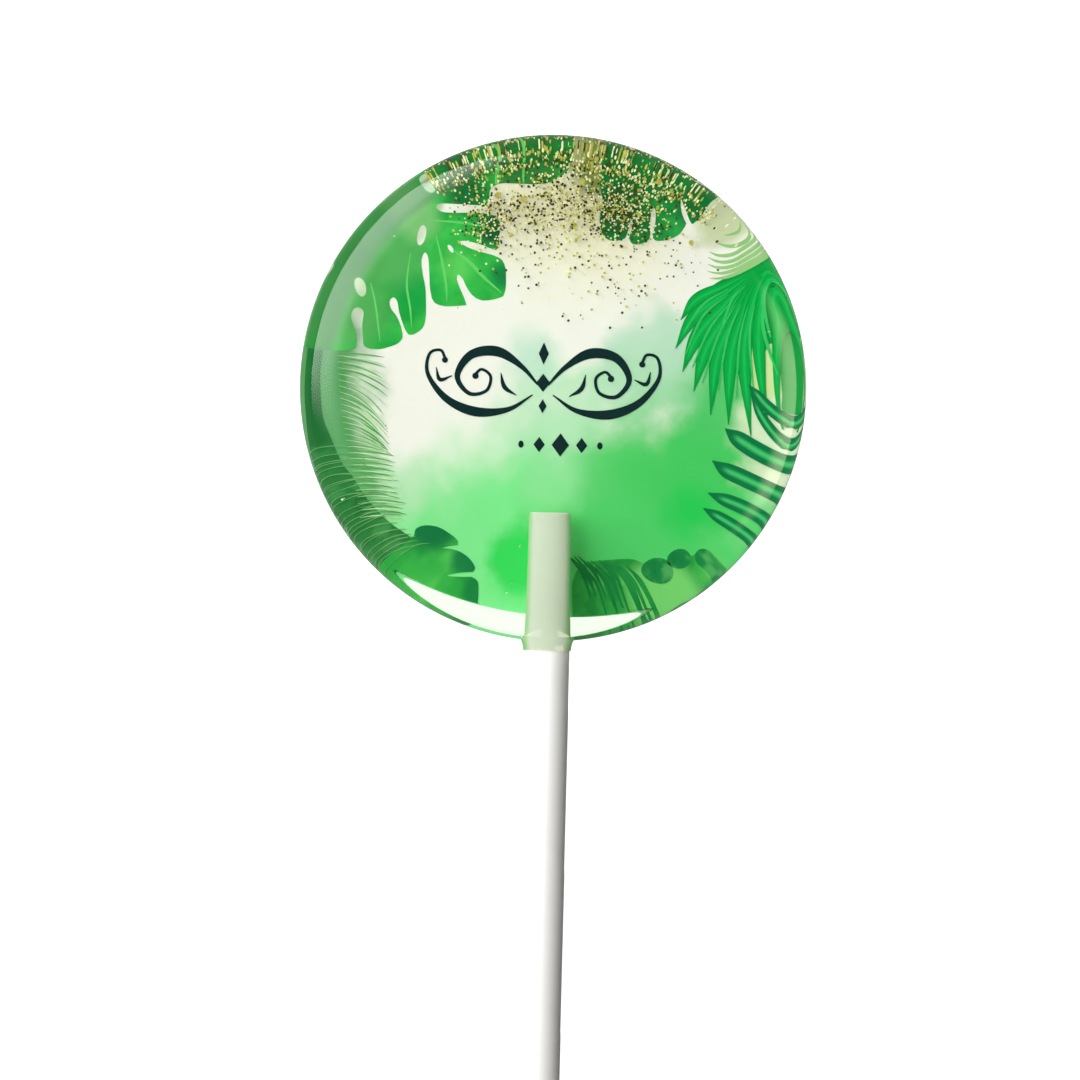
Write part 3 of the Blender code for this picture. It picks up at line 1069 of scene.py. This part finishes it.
# Clouds of flakes: share, then centre and spread across, then centre and spread up the disc.
GLITTER_CLOUDS = (
    (0.28, 6.6, 2.3, 18.0, 1.6),
    (0.28, 0.4, 2.8, 18.0, 1.7),
    (0.20, -6.2, 2.0, 17.0, 1.8),
    (0.08, 0.0, 5.0, 21.2, 0.8),
    (0.12, 4.0, 5.5, 13.6, 3.2),
)
# Where flakes may lie, and their heights and radii.
LOWEST_FLAKE = 5.4
OUTERMOST_FLAKE = 23.4
FLAKE_FLOOR = 0.6
FLAKE_HEIGHT_SPREAD = 0.8
STREAK_DIRECTIONS = (math.radians(48), math.radians(122))
STREAK_RADII = (21.5, 22.7)
STREAK_HEIGHTS = (0.55, 3.0)
STREAK_SIZES = (0.06, 0.12)
LARGE_FLAKE_HEIGHT = 1.4
LARGE_FLAKE_SIZES = (0.22, 0.34)
LARGE_FLAKES = ((13.3, 14.7), (-3.4, 18.6), (3.4, 17.4), (2.4, 20.4), (1.6, 16.2), (-5.9, 18.9))


def scatter(rng):
    """A random place in the glitter's clouds, in metres."""
    while True:
        pick = rng.random()
        for share, x, spread_x, y, spread_y in GLITTER_CLOUDS:
            pick -= share
            if pick <= 0:
                break
        place = Vector((rng.gauss(x, spread_x), rng.gauss(y, spread_y))) * MM
        if place.length < OUTERMOST_FLAKE * MM and place.y > LOWEST_FLAKE * MM:
            return place


def near_rim(rng):
    """A random place near the top of the rim, where the candy draws flakes out into streaks."""
    direction = rng.uniform(*STREAK_DIRECTIONS)
    return Vector((math.cos(direction), math.sin(direction))) * rng.uniform(*STREAK_RADII) * MM


def flake(shape, rng, place, height, radius, tilt, sides=6):
    """Add one thin flake, turned at random and tilted by about so many degrees."""
    turn = Matrix.Rotation(rng.uniform(0, math.tau), 4, "Z")
    turn = turn @ Matrix.Rotation(math.radians(rng.gauss(0, tilt)), 4, "X")
    matrix = Matrix.Translation((place.x, place.y, height)) @ turn
    bmesh.ops.create_cone(
        shape, cap_ends=True, segments=sides, radius1=radius, radius2=radius,
        depth=FLAKE_THICKNESS, matrix=matrix,
    )


def make_glitter():
    rng = random.Random(11)
    # Lit and shaded copies of one gold glitter: the pale flakes are painted glint, bright under any lamp,
    # and the dusky flakes are painted shade, dark like flakes turned from the light.
    pale = glitter_material("painted_glint_flakes", (255, 255, 222), (250, 246, 170), 0.35, 0.1)
    gold = glitter_material("gold_flakes", (226, 222, 112), (180, 170, 62), 0.3, 0.4)
    painted_shade_gold = glitter_material("painted_shade_flakes", (78, 74, 28), (40, 42, 16), 0.4, 0.5)
    for name, count, streaks, material, sizes, tilt in (
        ("painted_glint_glitter", 1150, 200, pale, (0.07, 0.12), 24),
        ("gold_glitter", 700, 340, gold, (0.08, 0.15), 24),
        ("painted_shade_glitter", 720, 150, painted_shade_gold, (0.08, 0.15), 14),
    ):
        shape = bmesh.new()
        for _ in range(count):
            height = (FLAKE_FLOOR + abs(rng.gauss(0, FLAKE_HEIGHT_SPREAD))) * MM
            flake(shape, rng, scatter(rng), height, rng.uniform(*sizes) * MM, tilt)
        for _ in range(streaks):
            place = near_rim(rng)
            height = rng.uniform(*STREAK_HEIGHTS) * MM
            flake(shape, rng, place, height, rng.uniform(*STREAK_SIZES) * MM, tilt)
        if name == "gold_glitter":
            for x, y in LARGE_FLAKES:
                radius = rng.uniform(*LARGE_FLAKE_SIZES) * MM
                flake(shape, rng, Vector((x, y)) * MM, LARGE_FLAKE_HEIGHT * MM, radius, 12, sides=9)
        finished(name, shape, [material], smooth=False, merge=0)


# The stick.

STICK_RING_GAP = 0.5 * MM
WRAP_PITCH = 16 * MM
WRAP_STEP = 0.035 * MM


def make_stick():
    """A paper stick whose outer turn shows as a faint spiral step."""
    length = STICK_TIP_Y - STICK_END_Y
    rings = round(length / STICK_RING_GAP)
    heights = [-STICK_END_Y - length * i / rings for i in range(rings + 1)]
    profile = [(0.0, heights[0]), (STICK_RADIUS - TIP_CHAMFER, heights[0])]
    profile += [(STICK_RADIUS, heights[0] - TIP_CHAMFER)]
    profile += [(stick_radius(-h), h) for h in heights[1:-1]]
    profile += [(STICK_TIP_RADIUS, heights[-1] + TIP_CHAMFER)]
    profile += [(STICK_TIP_RADIUS - TIP_CHAMFER, heights[-1]), (0.0, heights[-1])]
    shape = spun(profile, STICK_STEPS)
    for corner in shape.verts:
        radius = math.hypot(corner.co.x, corner.co.y)
        if radius < STICK_TIP_RADIUS - 0.1 * MM:
            continue
        turns = math.atan2(corner.co.y, corner.co.x) / math.tau + corner.co.z / WRAP_PITCH
        inset = WRAP_STEP * (turns % 1.0)
        corner.co.x *= 1 - inset / radius
        corner.co.y *= 1 - inset / radius
    lay_along_stick(shape)
    finished("paper_stick", shape, [stick_material()], ["stick"])


# The floor, the light and the camera.

PHOTO_SIZE = 1080
PHOTO_DISC_CENTRE = (553.1, 388.0)
PHOTO_DISC_RADIUS = 253.2
PHOTO_ROLL = math.radians(1.35)
CAMERA_DISTANCE = 1.0
CAMERA_SENSOR = 36.0


def make_camera():
    scale = DISC_RADIUS / PHOTO_DISC_RADIUS
    right = Vector((math.cos(PHOTO_ROLL), math.sin(PHOTO_ROLL), 0.0))
    up = Vector((-math.sin(PHOTO_ROLL), math.cos(PHOTO_ROLL), 0.0))
    across = (PHOTO_SIZE / 2 - PHOTO_DISC_CENTRE[0]) * scale
    down = (PHOTO_SIZE / 2 - PHOTO_DISC_CENTRE[1]) * scale
    data = bpy.data.cameras.new("camera")
    data.sensor_width = CAMERA_SENSOR
    data.lens = CAMERA_SENSOR * CAMERA_DISTANCE / (PHOTO_SIZE * scale)
    data.clip_start = 0.01
    camera = add_object("camera", data)
    camera.location = right * across - up * down + Vector((0, 0, RIM_WIDEST_HEIGHT + CAMERA_DISTANCE))
    camera.rotation_euler = (0.0, 0.0, PHOTO_ROLL)
    bpy.context.scene.camera = camera


def soften_edges(data, margins):
    """Let a lamp's glow fade near the edges of its own width and height."""
    data.use_nodes = True
    tree = data.node_tree
    place = tree.nodes.new("ShaderNodeNewGeometry")
    split = tree.nodes.new("ShaderNodeSeparateXYZ")
    tree.links.new(place.outputs["Parametric"], split.inputs[0])
    shares = []
    for axis, (low, high) in zip("XY", margins):
        for start, end in ((0.0, low), (1.0, 1.0 - high)):
            ramp = tree.nodes.new("ShaderNodeMapRange")
            ramp.interpolation_type = "SMOOTHSTEP"
            ramp.inputs["From Min"].default_value = start
            ramp.inputs["From Max"].default_value = end
            tree.links.new(split.outputs[axis], ramp.inputs["Value"])
            shares.append(ramp.outputs["Result"])
    product = shares[0]
    for share in shares[1:]:
        times = tree.nodes.new("ShaderNodeMath")
        times.operation = "MULTIPLY"
        tree.links.new(product, times.inputs[0])
        tree.links.new(share, times.inputs[1])
        product = times.outputs[0]
    tree.links.new(product, tree.nodes["Emission"].inputs["Strength"])


def make_lamp(name, place, away, size, power, margins, color=(1.0, 1.0, 1.0)):
    """A soft box at a place; away points from the object towards it, square to its face."""
    data = bpy.data.lights.new(name, "AREA")
    data.shape = "RECTANGLE"
    data.size, data.size_y = size
    data.energy = power
    data.color = color
    soften_edges(data, margins)
    lamp = add_object(name, data)
    lamp.location = place
    lamp.rotation_euler = Vector(away).to_track_quat("Z", "Y").to_euler()
    lamp.visible_transmission = False
    return lamp


def make_world():
    """Pale behind the object, and dim in what the candy reflects and bends."""
    world = bpy.data.worlds.new("studio")
    world.use_nodes = True
    tree = world.node_tree
    background = tree.nodes["Background"]
    background.inputs["Color"].default_value = (0.12, 0.12, 0.12, 1.0)
    pale = tree.nodes.new("ShaderNodeBackground")
    pale.inputs["Color"].default_value = (0.9, 0.9, 0.9, 1.0)
    path = tree.nodes.new("ShaderNodeLightPath")
    either = tree.nodes.new("ShaderNodeMixShader")
    tree.links.new(path.outputs["Is Camera Ray"], either.inputs["Fac"])
    tree.links.new(background.outputs[0], either.inputs[1])
    tree.links.new(pale.outputs[0], either.inputs[2])
    tree.links.new(either.outputs[0], tree.nodes["World Output"].inputs["Surface"])
    bpy.context.scene.world = world


def make_floor():
    """A white floor: it glows to the eye and, faintly tinted, through the candy, not in reflections. The
    tint is painted shade: seen through the candy the floor is dimmer and greener, for the candy's shadow
    and green light on it.
    """
    nodes = Nodes("pale_floor")
    nodes.set(Base_Color=(0.2, 0.2, 0.2, 1.0), Roughness=0.9, Specular_IOR_Level=0.0)
    glow = nodes.add("ShaderNodeEmission")
    glow.inputs["Strength"].default_value = 1.12
    both = nodes.add("ShaderNodeAddShader")
    ray = nodes.add("ShaderNodeLightPath")
    # Painted shade: dimmer and greener where the floor is seen through the candy.
    tint = nodes.mix(ray.outputs["Is Transmission Ray"], (1.0, 1.0, 1.0, 1.0), (0.85, 0.93, 0.82, 1.0))
    nodes.link(tint, glow.inputs["Color"])
    either = nodes.add("ShaderNodeMixShader")
    faint = nodes.add("ShaderNodeBsdfDiffuse")
    faint.inputs["Color"].default_value = (0.12, 0.12, 0.12, 1.0)
    nodes.link(glow.outputs[0], both.inputs[0])
    nodes.link(faint.outputs[0], both.inputs[1])
    nodes.link(ray.outputs["Is Reflection Ray"], either.inputs["Fac"])
    nodes.link(both.outputs[0], either.inputs[1])
    nodes.link(nodes.shader.outputs["BSDF"], either.inputs[2])
    nodes.link(either.outputs[0], nodes.output.inputs["Surface"])
    shape = bmesh.new()
    bmesh.ops.create_grid(shape, x_segments=1, y_segments=1, size=1.5)
    bmesh.ops.translate(shape, vec=(0, 0, -0.1 * MM), verts=shape.verts)
    mesh = as_mesh("floor", shape)
    mesh.materials.append(nodes.material)
    floor = add_object("floor", mesh)


def make_studio():
    make_camera()
    make_world()
    make_floor()
    make_lamp(
        "left_softbox", place=(-0.34, 0.40, 0.35), away=(-0.65, 0.0, 0.76), size=(1.0, 0.72),
        power=12.6, margins=((0.1, 0.2), (0.04, 0.4)),
    )
    right_softbox = make_lamp(
        "right_softbox", place=(0.42, -0.03, 0.26), away=(0.85, -0.06, 0.53), size=(0.52, 0.6),
        power=4.7, margins=((0.3, 0.3), (0.15, 0.5)), color=(1.0, 1.0, 0.72),
    )
    right_softbox.visible_diffuse = False
    upper_fill = make_lamp(
        "upper_fill", place=(-0.17, 0.10, 0.46), away=(-0.34, 0.20, 0.92), size=(0.3, 0.3),
        power=1.15, margins=((0.1, 0.1), (0.1, 0.1)),
    )
    upper_fill.visible_glossy = False
    bpy.context.scene.view_settings.view_transform = "Standard"


make_candy()
make_print_sheet()
make_artwork()
make_glitter()
make_stick()
make_studio()
